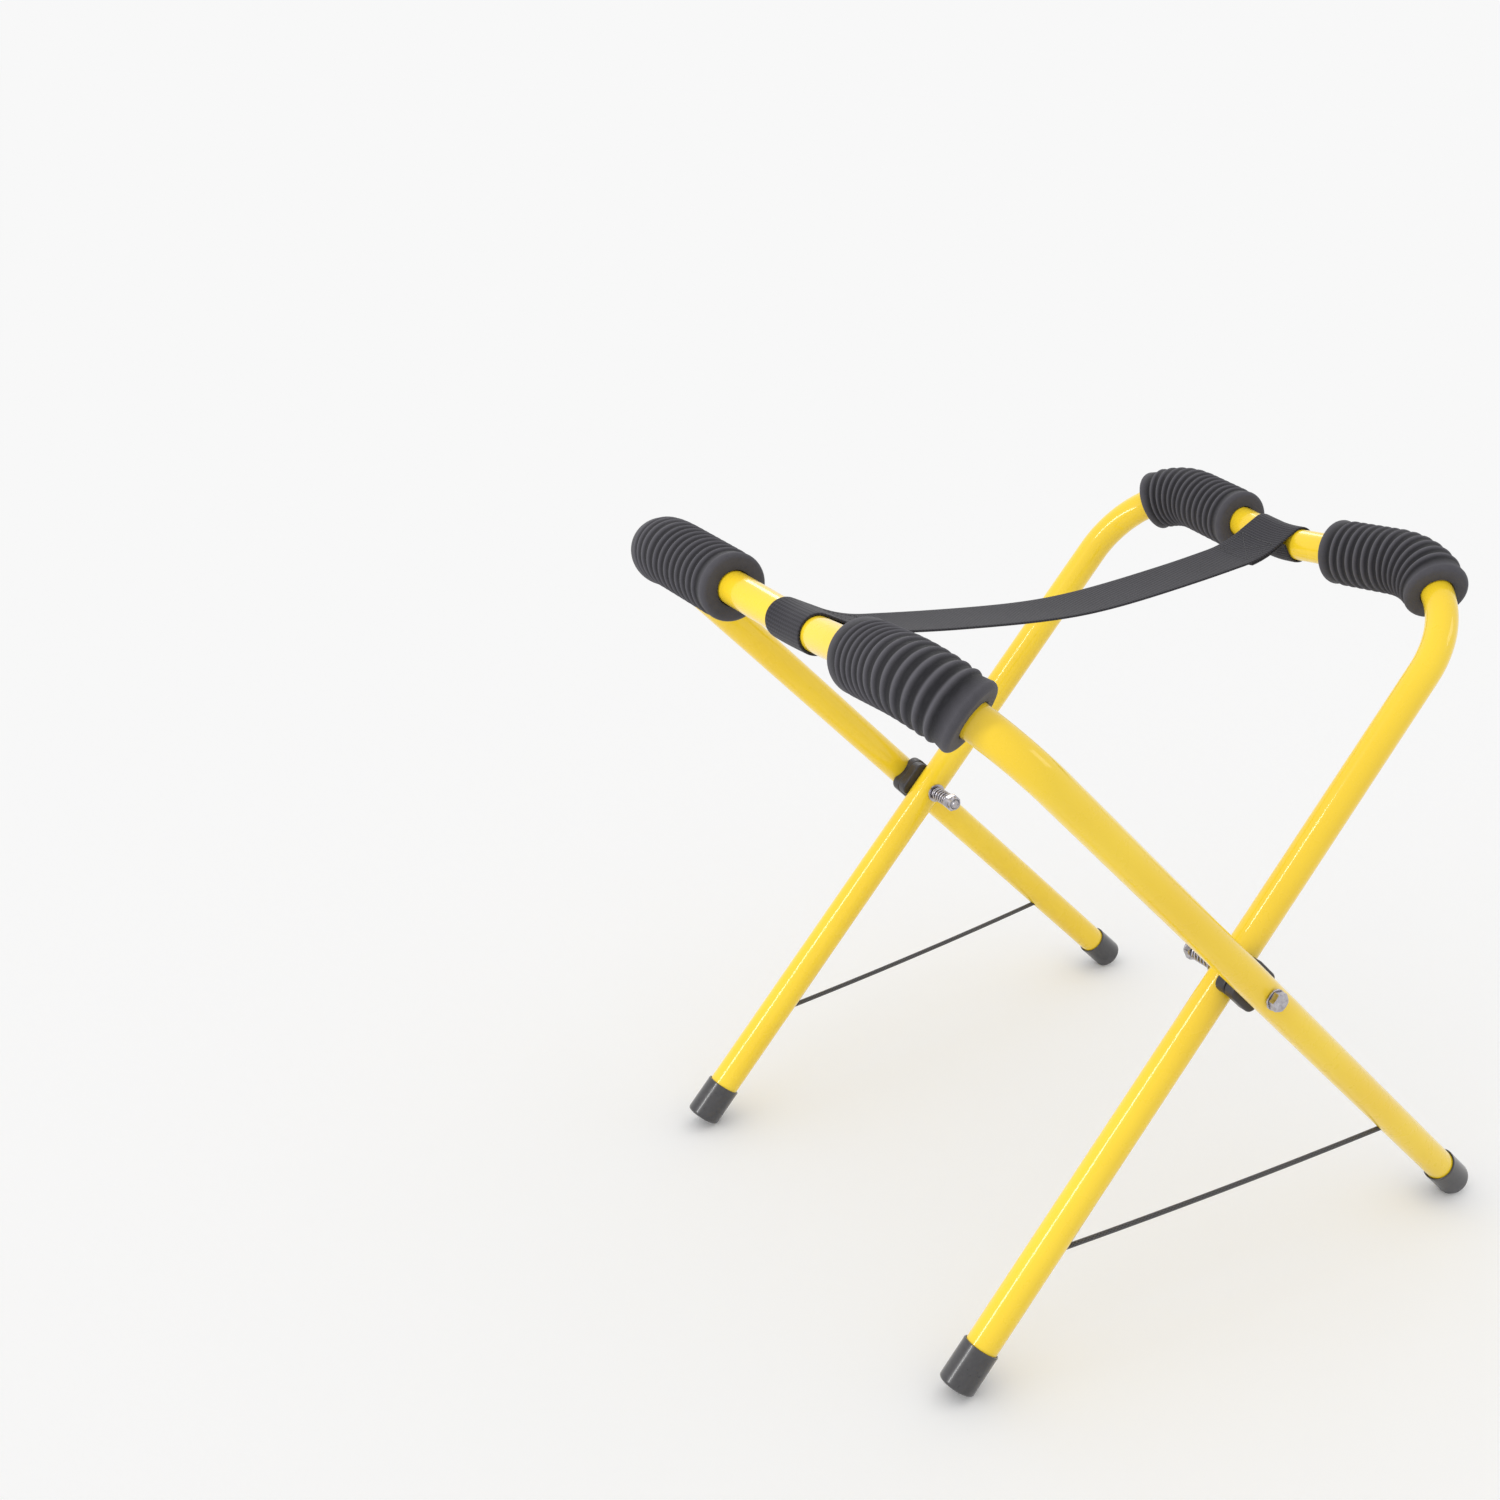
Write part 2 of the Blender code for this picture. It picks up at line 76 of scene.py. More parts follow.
FOOT_END = (PIVOT.z + FOOT_FLAT - FOOT_RADIUS * math.sin(LEAN)) / math.cos(LEAN)
TUBE_END = FOOT_END - FOOT_FLOOR - GAP

# Cords
CORD_RADIUS = 0.0020
CORD_HOLE_RADIUS = 0.0026
CORD_HOLE_UP = {"outer": 0.128, "inner": 0.115}     # up each leg from the ground
CORD_SAG = 0.0020
CORD_HIDDEN = 0.0123                 # from the leg's middle to where the cord meets its knot

# Foam grips
GRIP_RADIUS = 0.0255
GRIP_BORE = 0.0129
GRIP_LENGTH = 0.118
GRIP_BAND = 0.0110                   # plain band at each end
GRIP_RIBS = 12
GRIP_GROOVE = 0.0017                 # depth of the grooves
GRIP_EDGE = 0.0040                   # rounding of the rims
GRIP_LIP = 0.0008                    # softened edge of the bore
GRIP_START = {                       # along the bar, from its middle
    ("outer", "left"): 0.103,
    ("outer", "right"): 0.082,
    ("inner", "left"): 0.059,
    ("inner", "right"): 0.057,
}

# Webbing
WEB_WIDTH = 0.050
WEB_THICKNESS = 0.0019
WEB_LOW = 0.4785                     # height of the span's middle
WEB_SLOPE = 0.120                    # that the span's two halves tend to
WEB_EASE = 0.060                     # length over which its middle turns
SEAM_REACH = 0.178                   # middle of the span to where it turns up to its bar
SEAM_EASE = 0.018
SEW_START = 0.196                    # the sewn overlap, from the middle of the span
SEW_END = 0.167
WEB_CENTRE = {"outer": -0.009, "inner": 0.006}
WEB_TURN_IN = 0.10                   # length over which the span takes its bar's slope
WEB_DISH = 0.0006                    # how far the span's middle sags between its edges
TAIL_GAP = 0.00015                   # between the span and the tail sewn under it

# Pivots
WASHER_RADIUS = 0.0080
WASHER_THICKNESS = 0.0014
SADDLE_HALF_LENGTH = 0.0155          # along its own leg
SADDLE_HALF_WIDTH = 0.0166           # across its own leg
SADDLE_CORNER = 0.0070
SADDLE_HUG = 0.0040                  # how far a saddle reaches round its tube
SPRING_LENGTH = 0.0215
SPRING_RADIUS = 0.0052               # to the middle of the wire
SPRING_WIRE = 0.00085
SPRING_ACTIVE_TURNS = 4.5
HEX_ACROSS_FLATS = 0.0130
HEAD_HEIGHT = 0.0053
NUT_HEIGHT = 0.0080
BOLT_RADIUS = 0.0040
BOLT_TIP = 0.0016                    # bolt end beyond the nut
THREAD_PITCH = 0.00125
THREAD_DEPTH = 0.0006
PLAIN_SHANK = 0.045                  # length under the head that has no thread

POINT_RADIUS = 0.00002               # of a ring that closes on its axis


# ---------------------------------------------------------------- camera

CAMERA_PLACE = (-0.70915, -0.99851, 0.83739)
CAMERA_ANGLES = (-39.60, 22.78, 2.23)     # azimuth, elevation, roll
CAMERA_LENS = 40.564
CAMERA_SHIFT = (-0.2843, 0.0334)


def make_camera():
    """Camera above the trestle, in front of it and to the left."""
    azimuth, elevation, roll = (math.radians(angle) for angle in CAMERA_ANGLES)
    back = Vector((math.sin(azimuth) * math.cos(elevation),
                   -math.cos(azimuth) * math.cos(elevation), math.sin(elevation)))
    level = Vector((math.cos(azimuth), math.sin(azimuth), 0.0))
    upright = back.cross(level)
    right = level * math.cos(roll) + upright * math.sin(roll)
    up = upright * math.cos(roll) - level * math.sin(roll)
    data = bpy.data.cameras.new("camera")
    data.sensor_width = 36.0
    data.lens = CAMERA_LENS
    data.shift_x, data.shift_y = CAMERA_SHIFT
    data.clip_start = 0.01
    data.clip_end = 100.0
    camera = bpy.data.objects.new("camera", data)
    bpy.context.scene.collection.objects.link(camera)
    turn = Matrix((right, up, back)).transposed().to_4x4()
    camera.matrix_world = Matrix.Translation(CAMERA_PLACE) @ turn
    bpy.context.scene.camera = camera


# ---------------------------------------------------------------- mesh helpers

def link(name, mesh):
    item = bpy.data.objects.new(name, mesh)
    bpy.context.scene.collection.objects.link(item)
    return item


def finish_mesh(mesh, angle=35.0):
    """Smooth shading, with edges sharper than the angle left sharp."""
    mesh.validate()
    mesh.shade_smooth()
    mesh.set_sharp_from_angle(angle=math.radians(angle))


def loft(name, rings, loop=False, around=None):
    """Skin over rings of points; a loop joins the last ring to the first, else the ends are capped.

    The UV map holds metres: u along the rings and v around them. A ring's whole length is around.
    """
    count, sides = len(rings), len(rings[0])
    points = np.array([[tuple(point) for point in ring] for ring in rings])
    middles = points.mean(axis=1)
    steps = np.linalg.norm(np.diff(middles, axis=0, append=middles[:1]), axis=1)
    along = np.concatenate([[0.0], np.cumsum(steps)])
    length = around or float(np.linalg.norm(np.diff(points[0], axis=0, append=points[0][:1]),
                                            axis=1).sum())
    faces, places = [], []
    for index in range(count if loop else count - 1):
        after = (index + 1) % count
        for side in range(sides):
            beside = (side + 1) % sides
            faces.append((index * sides + side, index * sides + beside,
                          after * sides + beside, after * sides + side))
            low, high = side / sides * length, (side + 1) / sides * length
            places += [(along[index], low), (along[index], high),
                       (along[index + 1], high), (along[index + 1], low)]
    if not loop:
        faces.append(tuple(reversed(range(sides))))
        faces.append(tuple(range((count - 1) * sides, count * sides)))
        places += [(0.0, 0.0)] * (2 * sides)
    mesh = bpy.data.meshes.new(name)
    mesh.from_pydata(points.reshape(-1, 3).tolist(), [], faces)
    layer = mesh.uv_layers.new(name="UVMap")
    layer.data.foreach_set("uv", np.array(places, np.float32).ravel())
    shape = bmesh.new()
    shape.from_mesh(mesh)
    bmesh.ops.recalc_face_normals(shape, faces=shape.faces)
    shape.to_mesh(mesh)
    shape.free()
    finish_mesh(mesh)
    return link(name, mesh)


def circle(centre, first, second, radius, sides):
    """Ring of points in the plane of two unit vectors."""
    angles = [2.0 * math.pi * side / sides for side in range(sides)]
    return [centre + first * (radius * math.cos(angle)) + second * (radius * math.sin(angle))
            for angle in angles]


def tube_along(name, points, radius, sides):
    """Round bar along points, its rings turned as little as possible."""
    tangents = [(points[min(i + 1, len(points) - 1)] - points[max(i - 1, 0)]).normalized()
                for i in range(len(points))]
    side = tangents[0].orthogonal().normalized()
    rings = []
    for point, tangent in zip(points, tangents):
        side = (side - tangent * side.dot(tangent)).normalized()
        rings.append(circle(point, side, tangent.cross(side), radius, sides))
    return loft(name, rings, around=2.0 * math.pi * radius)


def lathe(name, profile, origin, axis, sides):
    """Turned solid: profile of (radius, along) from one end of the axis to the other."""
    axis = Vector(axis).normalized()
    first = axis.orthogonal().normalized()
    second = axis.cross(first)
    rings = [circle(Vector(origin) + axis * along, first, second, max(radius, POINT_RADIUS), sides)
             for radius, along in profile]
    return loft(name, rings)


def ring_lathe(name, profile, origin, axis, sides):
    """Turned ring: the profile of (radius, along) is a closed outline clear of the axis."""
    axis = Vector(axis).normalized()
    first = axis.orthogonal().normalized()
    second = axis.cross(first)
    rings = [circle(Vector(origin) + axis * along, first, second, radius, sides)
             for radius, along in profile]
    return loft(name, rings, loop=True)


def apply_boolean(item, cutter, operation="DIFFERENCE"):
    """Cut or join two meshes, then remove the second."""
    modifier = item.modifiers.new("cut", "BOOLEAN")
    modifier.operation = operation
    modifier.solver = "EXACT"
    modifier.object = cutter
    graph = bpy.context.evaluated_depsgraph_get()
    cut = bpy.data.meshes.new_from_object(item.evaluated_get(graph))
    item.modifiers.clear()
    item.data = cut
    bpy.data.objects.remove(cutter, do_unlink=True)
    finish_mesh(item.data)


def frame_matrix(name):
    """From a frame's own axes, with z up its legs from the pivot, to the model's."""
    return Matrix.Translation(PIVOT) @ Matrix.Rotation(TURN[name], 4, "Y")


def bend_places(name):
    """Where a frame's corner bend starts and ends along it, and the height its leg starts at."""
    half = HALF_WIDTH[name]
    bend_y = half - CORNER_RADIUS + CORNER_RADIUS * math.cos(CORNER_TURN)
    start = MIDDLE_ARC + (bend_y - MIDDLE_ACROSS) / math.cos(BAR_RISE)
    leg_top = (BAR_HEIGHT + half * math.tan(BAR_RISE)
               - CORNER_RADIUS * math.tan(CORNER_TURN / 2.0))
    return start, start + CORNER_RADIUS * CORNER_TURN, leg_top


def on_frame(name, distance):
    """Point and direction of a frame's centre line, at a distance from its bar's middle."""
    half = HALF_WIDTH[name]
    sign = -1.0 if distance < 0.0 else 1.0
    run = abs(distance)
    bend_start, bend_end, leg_top = bend_places(name)
    if run <= MIDDLE_ARC:
        heading = run / MIDDLE_RADIUS
        across = MIDDLE_RADIUS * math.sin(heading)
        height = BAR_HEIGHT + BAR_CREST - MIDDLE_RADIUS * math.cos(heading)
    elif run <= bend_start:
        across = MIDDLE_ACROSS + (run - MIDDLE_ARC) * math.cos(BAR_RISE)
        height = BAR_HEIGHT + across * math.tan(BAR_RISE)
        heading = BAR_RISE
    elif run <= bend_end:
        angle = CORNER_TURN - (run - bend_start) / CORNER_RADIUS
        across = half - CORNER_RADIUS + CORNER_RADIUS * math.cos(angle)
        height = leg_top + CORNER_RADIUS * math.sin(angle)
        heading = angle - math.radians(90.0)
    else:
        across = half
        height = leg_top - (run - bend_end)
        heading = math.radians(-90.0)
    point = Vector((0.0, sign * across, height))
    tangent = Vector((0.0, math.cos(heading), sign * math.sin(heading)))
    return point, tangent


def frame_ring(name, distance, radius, sides):
    """Ring round a frame's centre line, at a distance from its bar's middle."""
    point, tangent = on_frame(name, distance)
    matrix = frame_matrix(name)
    turn = matrix.to_3x3()
    across = Vector((1.0, 0.0, 0.0))
    return circle(matrix @ point, turn @ across, turn @ tangent.cross(across), radius, sides)


# ---------------------------------------------------------------- materials

def new_material(name):
    """New material, its node tree and its shader."""
    material = bpy.data.materials.new(name)
    material.use_nodes = True
    return material, material.node_tree, material.node_tree.nodes["Principled BSDF"]


def node(tree, kind, **values):
    made = tree.nodes.new(kind)
    for key, value in values.items():
        setattr(made, key, value)
    return made


def noise(tree, coordinates, scale, detail=3.0, roughness=0.5):
    made = node(tree, "ShaderNodeTexNoise")
    made.inputs["Scale"].default_value = scale
    made.inputs["Detail"].default_value = detail
    made.inputs["Roughness"].default_value = roughness
    tree.links.new(coordinates, made.inputs["Vector"])
    return made.outputs["Fac"]


def math_node(tree, operation, first, second=None):
    made = node(tree, "ShaderNodeMath", operation=operation)
    for index, value in enumerate((first, second)):
        if value is None:
            continue
        if isinstance(value, (int, float)):
            made.inputs[index].default_value = value
        else:
            tree.links.new(value, made.inputs[index])
    return made.outputs[0]


def to_range(tree, value, low, high, start=0.0, end=1.0):
    made = node(tree, "ShaderNodeMapRange")
    tree.links.new(value, made.inputs["Value"])
    for socket, number in (("From Min", start), ("From Max", end), ("To Min", low),
                           ("To Max", high)):
        made.inputs[socket].default_value = number
    return made.outputs["Result"]


def ramp(tree, value, *stops):
    made = node(tree, "ShaderNodeValToRGB")
    elements = made.color_ramp.elements
    while len(elements) < len(stops):
        elements.new(0.5)
    for element, (place, color) in zip(elements, stops):
        element.position = place
        element.color = (*color, 1.0)
    tree.links.new(value, made.inputs["Fac"])
    return made.outputs["Color"]


def bump(tree, shader, height, strength, distance, below=None):
    made = node(tree, "ShaderNodeBump")
    made.inputs["Strength"].default_value = strength
    made.inputs["Distance"].default_value = distance
    tree.links.new(height, made.inputs["Height"])
    if below is not None:
        tree.links.new(below, made.inputs["Normal"])
    if shader is not None:
        tree.links.new(made.outputs["Normal"], shader.inputs["Normal"])
    return made.outputs["Normal"]


def object_coordinates(tree):
    return node(tree, "ShaderNodeTexCoord").outputs["Object"]


def powder_coat():
    """Glossy yellow coat with faint orange peel and a little unevenness of colour and gloss."""
    material, tree, shader = new_material("yellow_powder_coat_look")
    place = object_coordinates(tree)
    cloud = noise(tree, place, 9.0, 2.0)
    color = ramp(tree, cloud, (0.30, (0.850, 0.578, 0.019)), (0.70, (0.885, 0.632, 0.028)))
    tree.links.new(color, shader.inputs["Base Color"])
    smear = noise(tree, place, 60.0, 4.0, 0.6)
    tree.links.new(to_range(tree, smear, 0.22, 0.36, 0.3, 0.7), shader.inputs["Roughness"])
    bump(tree, shader, noise(tree, place, 420.0, 2.0), 0.10, 0.0004)
    shader.inputs["Coat Weight"].default_value = 0.75
    shader.inputs["Coat Roughness"].default_value = 0.07
    shader.inputs["IOR"].default_value = 1.5
    shader.inputs["Specular IOR Level"].default_value = 0.22
    return material


def foam():
    """Closed-cell foam: pores, a faint mottle, and painted light: lighter ridges, darker grooves
    and a painted shadow in the bore.
    """
    material, tree, shader = new_material("black_foam_look")
    place = object_coordinates(tree)
    # Per-point painted light from the grip: lit ridges and rims, painted shade in the grooves,
    # painted shadow in the bore.
    painted_ridge_light = node(tree, "ShaderNodeAttribute", attribute_name="painted_ridge_light").outputs["Fac"]
    mottle = noise(tree, place, 160.0, 4.0, 0.6)
    level = math_node(tree, "ADD", math_node(tree, "MULTIPLY", painted_ridge_light, 0.72),
                      math_node(tree, "MULTIPLY", mottle, 0.28))
    # Dark end: painted shade of the grooves and bore; light end: painted highlight on the ridges.
    color = ramp(tree, level, (0.16, (0.0060, 0.0056, 0.0084)), (0.92, (0.092, 0.089, 0.103)))
    tree.links.new(color, shader.inputs["Base Color"])
    tree.links.new(to_range(tree, mottle, 0.66, 0.86, 0.3, 0.7), shader.inputs["Roughness"])
    pores = node(tree, "ShaderNodeTexVoronoi")
    pores.inputs["Scale"].default_value = 1100.0
    tree.links.new(place, pores.inputs["Vector"])
    coarse = bump(tree, None, noise(tree, place, 500.0, 3.0), 0.25, 0.0005)
    bump(tree, shader, pores.outputs["Distance"], 0.22, 0.0004, coarse)
    shader.inputs["Sheen Weight"].default_value = 0.08
    shader.inputs["Sheen Roughness"].default_value = 0.6
    shader.inputs["Specular IOR Level"].default_value = 0.22
    return material


def webbing():
    """Woven webbing: fine ribs across its length, warp columns between them, fuzz."""
    material, tree, shader = new_material("black_webbing_look")
    place = node(tree, "ShaderNodeTexCoord").outputs["UV"]
    split = node(tree, "ShaderNodeSeparateXYZ")
    tree.links.new(place, split.inputs[0])
    along, across = split.outputs[0], split.outputs[1]
    rib_pitch, column_pitch = 0.0026, 0.0021
    column = math_node(tree, "MULTIPLY", across, 2.0 * math.pi / column_pitch)
    stagger = math_node(tree, "MULTIPLY", math_node(tree, "SINE", column), 0.5)
    rib_phase = math_node(tree, "MULTIPLY", along, 2.0 * math.pi / rib_pitch)
    rib = math_node(tree, "SINE", math_node(tree, "ADD", rib_phase, stagger))
    weave = math_node(tree, "ADD", math_node(tree, "MULTIPLY", rib, 0.36),
                      math_node(tree, "MULTIPLY", math_node(tree, "COSINE", column), 0.12))
    weave = math_node(tree, "ADD", weave, 0.5)
    lint = noise(tree, place, 700.0, 4.0, 0.65)
    shade = noise(tree, place, 14.0, 3.0)
    level = math_node(tree, "ADD", math_node(tree, "MULTIPLY", weave, 0.45),
                      math_node(tree, "ADD", math_node(tree, "MULTIPLY", lint, 0.30),
                                math_node(tree, "MULTIPLY", shade, 0.25)))
    color = ramp(tree, level, (0.20, (0.009, 0.0085, 0.0115)), (0.80, (0.038, 0.0362, 0.046)))
    tree.links.new(color, shader.inputs["Base Color"])
    shader.inputs["Roughness"].default_value = 0.82
    fuzz = bump(tree, None, lint, 0.25, 0.0003)
    bump(tree, shader, weave, 0.55, 0.0005, fuzz)
    shader.inputs["Sheen Weight"].default_value = 0.10
    shader.inputs["Sheen Roughness"].default_value = 0.5
    shader.inputs["Specular IOR Level"].default_value = 0.25
    return material


def braid():
    """Braided cord: two sets of strands crossing round it."""
    material, tree, shader = new_material("black_cord_look")
    place = node(tree, "ShaderNodeTexCoord").outputs["UV"]
    split = node(tree, "ShaderNodeSeparateXYZ")
    tree.links.new(place, split.inputs[0])
    strands = 6.0
    lay = 0.0030
    turn = math_node(tree, "MULTIPLY", split.outputs[1], strands / CORD_RADIUS)
    run = math_node(tree, "MULTIPLY", split.outputs[0], 2.0 * math.pi / lay)
    right = math_node(tree, "SINE", math_node(tree, "ADD", turn, run))
    left = math_node(tree, "SINE", math_node(tree, "SUBTRACT", turn, run))
    plait = to_range(tree, math_node(tree, "MAXIMUM", right, left), 0.0, 1.0, -0.7, 1.0)
    color = ramp(tree, plait, (0.0, (0.020, 0.020, 0.022)), (1.0, (0.085, 0.083, 0.090)))
    tree.links.new(color, shader.inputs["Base Color"])
    shader.inputs["Roughness"].default_value = 0.75
    bump(tree, shader, plait, 0.7, 0.0005)
    shader.inputs["Sheen Weight"].default_value = 0.2
    return material


def rubber():
    """Moulded rubber: satin skin, faint flow marks, scuffed and dusty towards the ground."""
    material, tree, shader = new_material("black_rubber_look")
    place = object_coordinates(tree)
    height = node(tree, "ShaderNodeSeparateXYZ")
    tree.links.new(place, height.inputs[0])
    scuff = noise(tree, place, 230.0, 5.0, 0.7)
    low = to_range(tree, height.outputs[2], 1.0, 0.0, 0.0, 0.012)
    worn = math_node(tree, "MULTIPLY", low, scuff)
    level = math_node(tree, "ADD", math_node(tree, "MULTIPLY", worn, 0.6),
                      math_node(tree, "MULTIPLY", scuff, 0.35))
    color = ramp(tree, level, (0.10, (0.030, 0.029, 0.032)), (0.70, (0.096, 0.093, 0.096)))
    tree.links.new(color, shader.inputs["Base Color"])
    tree.links.new(to_range(tree, level, 0.26, 0.62, 0.1, 0.6), shader.inputs["Roughness"])
    bump(tree, shader, scuff, 0.15, 0.0004)
    shader.inputs["Specular IOR Level"].default_value = 0.45
    shader.inputs["Coat Weight"].default_value = 0.5
    shader.inputs["Coat Roughness"].default_value = 0.16
    return material


def plastic():
    """Moulded black plastic with a fine spark-eroded grain."""
    material, tree, shader = new_material("black_plastic_look")
    place = object_coordinates(tree)
    grain = noise(tree, place, 1300.0, 2.0)
    cloud = noise(tree, place, 120.0, 3.0)
    color = ramp(tree, cloud, (0.3, (0.022, 0.019, 0.022)), (0.7, (0.038, 0.034, 0.038)))
    tree.links.new(color, shader.inputs["Base Color"])
    tree.links.new(to_range(tree, cloud, 0.34, 0.50, 0.3, 0.7), shader.inputs["Roughness"])
    bump(tree, shader, grain, 0.2, 0.0002)
    return material


def zinc():
    """Bright zinc plate: cloudy passivation and fine tool marks."""
    material, tree, shader = new_material("zinc_plate_look")
    place = object_coordinates(tree)
    cloud = noise(tree, place, 260.0, 4.0, 0.6)
    color = ramp(tree, cloud, (0.3, (0.30, 0.285, 0.31)), (0.7, (0.60, 0.58, 0.62)))
    tree.links.new(color, shader.inputs["Base Color"])
    tree.links.new(to_range(tree, cloud, 0.14, 0.30, 0.3, 0.7), shader.inputs["Roughness"])
    bump(tree, shader, noise(tree, place, 2200.0, 2.0), 0.12, 0.0002)
    shader.inputs["Metallic"].default_value = 1.0
    return material


def nylon():
    """Milky nylon of a lock nut's insert."""
    material, tree, shader = new_material("nylon_insert_look")
    place = object_coordinates(tree)
    cloud = noise(tree, place, 500.0, 3.0)
    color = ramp(tree, cloud, (0.3, (0.40, 0.41, 0.43)), (0.7, (0.55, 0.56, 0.57)))
    tree.links.new(color, shader.inputs["Base Color"])
    shader.inputs["Roughness"].default_value = 0.45
    shader.inputs["Subsurface Weight"].default_value = 0.1
    return material


LOOKS = {
    "yellow_powder_coat": powder_coat(),
    "black_foam": foam(),
    "black_webbing": webbing(),
    "black_cord": braid(),
    "black_rubber": rubber(),
    "black_plastic": plastic(),
    "zinc_plate": zinc(),
}
NYLON = nylon()


def dress(item, slot, body=None, replaced=()):
    """Give a piece the look for its slot, put it on its body and hide the CAD nodes that it stands
    for.
    """
    item.data.materials.clear()
    item.data.materials.append(LOOKS[slot])
    if body:
        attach(item, BODY[body])
    if replaced:
        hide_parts(*replaced)


# ---------------------------------------------------------------- limit cords

def cord_anchor(name, side):
    """Middle of a leg where its cord goes in."""
    reach = PIVOT.z / math.cos(LEAN) - CORD_HOLE_UP[name]
    direction = Vector((math.sin(TURN[name]), 0.0, math.cos(TURN[name])))
    return PIVOT + Vector((0.0, SIDES[side] * HALF_WIDTH[name], 0.0)) - direction * reach


def make_limit_cord(side):
    """Taut cord from the outer leg's hole to the inner leg's, knotted inside both."""
    start, end = cord_anchor("outer", side), cord_anchor("inner", side)
    toward = (end - start).normalized()
    first, last = start + toward * CORD_HIDDEN, end - toward * CORD_HIDDEN
    steps = 48
    route = []
    for step in range(steps + 1):
        share = step / steps
        point = first.lerp(last, share)
        point.z -= CORD_SAG * 4.0 * share * (1.0 - share)
        route.append(point)
    piece = tube_along("braided_limit_cord_" + side, route, CORD_RADIUS, 20)
    dress(piece, "black_cord", replaced=["limit_cord_" + side])
    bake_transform(piece)


# ---------------------------------------------------------------- frames

def make_frame_tube(name):
    """Bent round tube with its wall, open ends, bolt holes and cord holes."""
    start, end, leg_top = bend_places(name)
    marks = [0.0, 0.004, 0.008, MIDDLE_ARC]
    marks += list(np.linspace(MIDDLE_ARC, start, 6)[1:])
    marks += list(np.linspace(start, end, 30)[1:])
    marks += list(np.linspace(end, end + leg_top + TUBE_END, 14)[1:])
    whole = [-mark for mark in reversed(marks[1:])] + marks
    sides = 48
    inner = TUBE_RADIUS - TUBE_WALL
    rings = [frame_ring(name, mark, TUBE_RADIUS, sides) for mark in whole]
    rings += [frame_ring(name, mark, inner, sides) for mark in reversed(whole)]
    tube = loft(name + "_powder_coated_tube", rings, loop=True)
    for side, sign in SIDES.items():
        centre = PIVOT + Vector((0.0, sign * HALF_WIDTH[name], 0.0))
        reach = Vector((0.0, 0.020, 0.0))
        hole = tube_along("cutter", [centre - reach, centre + reach], BOLT_HOLE_RADIUS, 40)
        apply_boolean(tube, hole)
        other = "inner" if name == "outer" else "outer"
        anchor = cord_anchor(name, side)
        toward = (cord_anchor(other, side) - anchor).normalized()
        route = [anchor, anchor + toward * 0.030]
        apply_boolean(tube, tube_along("cutter", route, CORD_HOLE_RADIUS, 24))
    dress(tube, "yellow_powder_coat", name, [name + "_frame_tube"])


def grip_stations():
    """Closed outline of a grip as (along, radius, painted light): high on lit ridges and rims, low
    in shaded grooves and the bore.
    """
    edge, lip = GRIP_EDGE, GRIP_LIP
    band = GRIP_RADIUS - 0.0002
    face_middle = GRIP_BORE + 0.5 * (band - edge - GRIP_BORE)
    quarter = [math.radians(90.0) * step / 7 for step in range(8)]
    rim = [(edge - edge * math.sin(angle), band - edge + edge * math.cos(angle), 0.72)
           for angle in reversed(quarter)]
    ribbed = GRIP_LENGTH - 2.0 * GRIP_BAND
    pitch = ribbed / GRIP_RIBS
    body = []
    per_rib = 12
    for step in range(GRIP_RIBS * per_rib + 1):
        phase = step / per_rib
        swell = 0.5 - 0.5 * math.cos(2.0 * math.pi * phase)
        lift = swell ** 2.4
        # A rib's height also sets its painted light: lit crests, painted shade in the grooves.
        body.append((GRIP_BAND + pitch * phase, GRIP_RADIUS - GRIP_GROOVE * (1.0 - lift), lift))
    far_rim = [(GRIP_LENGTH - along, radius, painted_ridge_light) for along, radius, painted_ridge_light in reversed(rim)]
    # The bore's low value paints the shadow in the gap round the tube.
    bore = [(GRIP_LENGTH - 0.0002, face_middle, 0.65),
            (GRIP_LENGTH, GRIP_BORE + lip, 0.5), (GRIP_LENGTH - lip, GRIP_BORE, 0.1)]
    bore += [(GRIP_LENGTH * (1.0 - step / 24), GRIP_BORE, 0.1) for step in range(1, 24)]
    bore += [(lip, GRIP_BORE, 0.1), (0.0, GRIP_BORE + lip, 0.5), (0.0002, face_middle, 0.65)]
    return rim + body + far_rim + bore


def make_grip(name, side):
    """Ribbed foam grip stretched over the bar's corner."""
    sides = 64
    start = GRIP_START[(name, side)]
    outline = grip_stations()
    rings = [frame_ring(name, SIDES[side] * (start + along), radius, sides)
             for along, radius, painted_ridge_light in outline]
    grip = loft("ribbed_foam_grip_" + name + "_" + side, rings, loop=True)
    # Painted light and shade for the foam's colour, one value per point.
    painted_ridge_light = grip.data.attributes.new("painted_ridge_light", "FLOAT", "POINT")
    values = np.repeat(np.array([entry[2] for entry in outline], np.float32), sides)
    painted_ridge_light.data.foreach_set("value", values)
    dress(grip, "black_foam", name, ["foam_grip_" + name + "_" + side])


